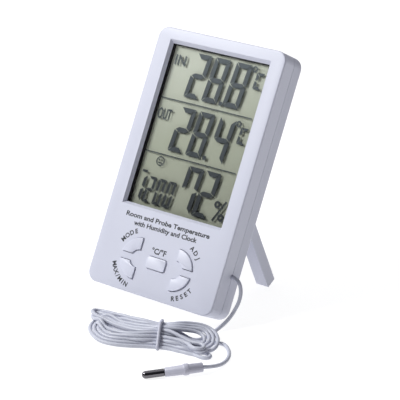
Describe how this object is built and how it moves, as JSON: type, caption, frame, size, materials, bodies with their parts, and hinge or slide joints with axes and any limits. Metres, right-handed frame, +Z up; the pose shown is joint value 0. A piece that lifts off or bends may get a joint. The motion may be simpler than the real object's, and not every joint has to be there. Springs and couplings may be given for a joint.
{
  "type": "indoor outdoor thermometer",
  "caption": "Slab-shaped digital maximum-minimum thermometer on a fold-out stand, with a large LCD, press keys and a metal-tipped probe on a hanked cord.",
  "frame": {"origin": "on the table, under the middle of the box of the case and its open stand", "axes": "+Z up from the table, +X to the right as seen from the front, +Y from the display side towards the stand"},
  "size_m": [0.1191, 0.1558, 0.1439],
  "materials": {
    "case_white": "cool white moulded ABS, satin",
    "rear_white": "cool white moulded ABS, fine texture",
    "key_white": "cool white moulded ABS, satin",
    "clear_plastic": "clear acrylic sheet",
    "lcd_glass": "LCD cell with polarisers",
    "lcd_reflector": "grey-green reflective LCD backing",
    "black_plastic": "black moulded plastic",
    "grey_rubber": "grey silicone rubber",
    "board_green": "green solder mask on laminate",
    "tin_plate": "nickel-plated steel",
    "sensor_white": "white sensor housing",
    "buzzer_brass": "thin brass disc",
    "battery_wrap": "plain shrink wrap, no lettering",
    "screw_steel": "zinc-plated steel",
    "cord_pvc": "pale grey-white PVC cord",
    "tie_white": "plastic-coated wire tie",
    "probe_white": "white moulded PVC sleeve",
    "stainless": "polished stainless steel"
  },
  "bodies": {
    "case": {"battery_cell": "battery_wrap", "battery_plate": "tin_plate", "battery_spring": "tin_plate", "buzzer": "buzzer_brass", "case_screw_1": "screw_steel", "case_screw_2": "screw_steel", "case_screw_3": "screw_steel", "case_screw_4": "screw_steel", "case_screw_5": "screw_steel", "chip_cover": "black_plastic", "circuit_board": "board_green", "contact_strip": "grey_rubber", "cord_hank": "cord_pvc", "cord_lead": "cord_pvc", "cord_probe_lead": "cord_pvc", "cord_stop": "tin_plate", "cord_tie": "tie_white", "crystal_can": "tin_plate", "display_window": "clear_plastic", "front_case": "case_white", "humidity_sensor": "sensor_white", "key_mat": "grey_rubber", "lcd_frame": "black_plastic", "lcd_glass": "lcd_glass", "lcd_reflector": "lcd_reflector", "probe_sleeve": "probe_white", "probe_tip": "stainless", "rear_case": "rear_white", "room_thermistor": "black_plastic"},
    "stand": {"stand": "rear_white"},
    "battery_door": {"battery_door": "rear_white"},
    "key_mode": {"key_mode": "key_white"},
    "key_max_min": {"key_max_min": "key_white"},
    "key_unit": {"key_unit": "key_white"},
    "key_adjust": {"key_adjust": "key_white"},
    "key_reset": {"key_reset": "key_white"}
  },
  "joints": [
    {"name": "stand_hinge", "type": "hinge", "parent": "case", "child": "stand", "pos_m": [0, -0.00028, 0.0574], "axis": [1, 0, 0], "range_deg": [-54.2, 0]},
    {"name": "battery_door_lift", "type": "slide", "parent": "case", "child": "battery_door", "axis": [0, 0.879, -0.4767], "range_m": [0, 0.02]},
    {"name": "key_mode_press", "type": "slide", "parent": "case", "child": "key_mode", "axis": [0, 0.879, -0.4767], "range_m": [0, 0.0007], "stiffness_N_per_m": 800, "springref_m": -0.0003},
    {"name": "key_max_min_press", "type": "slide", "parent": "case", "child": "key_max_min", "axis": [0, 0.879, -0.4767], "range_m": [0, 0.0007], "stiffness_N_per_m": 800, "springref_m": -0.0003},
    {"name": "key_unit_press", "type": "slide", "parent": "case", "child": "key_unit", "axis": [0, 0.879, -0.4767], "range_m": [0, 0.0007], "stiffness_N_per_m": 800, "springref_m": -0.0003},
    {"name": "key_adjust_press", "type": "slide", "parent": "case", "child": "key_adjust", "axis": [0, 0.879, -0.4767], "range_m": [0, 0.0007], "stiffness_N_per_m": 800, "springref_m": -0.0003},
    {"name": "key_reset_press", "type": "slide", "parent": "case", "child": "key_reset", "axis": [0, 0.879, -0.4767], "range_m": [0, 0.0007], "stiffness_N_per_m": 800, "springref_m": -0.0003}
  ]
}
